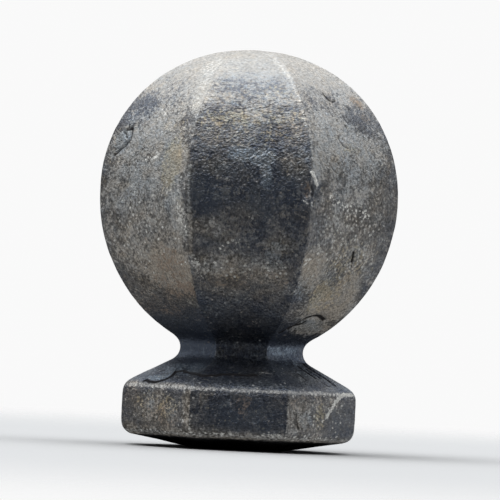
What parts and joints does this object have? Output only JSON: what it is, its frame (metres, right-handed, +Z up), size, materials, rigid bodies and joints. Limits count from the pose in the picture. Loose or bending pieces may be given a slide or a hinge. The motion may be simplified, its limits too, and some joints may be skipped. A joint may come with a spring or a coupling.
{
  "type": "fence ball finial",
  "caption": "Faceted ball finial of dark forged iron, with a narrow neck over a low octagonal base that rests on a post or stands by itself.",
  "frame": {"origin": "middle of the flat foot under the base, which is the lowest part of the finial", "axes": "+Z up along the finial's own axis, -Y out of one of the eight flats, +X to the right of that flat seen from the front"},
  "size_m": [0.06, 0.06, 0.0807],
  "materials": {
    "scaled_iron": "as-forged black iron under weathered mill scale, blue-black in the low parts, with grey, ochre and rusty patches, pale rubbed edges and a few lifted scale plates"
  },
  "bodies": {
    "root": {"ball_finial": "scaled_iron"}
  },
  "joints": []
}
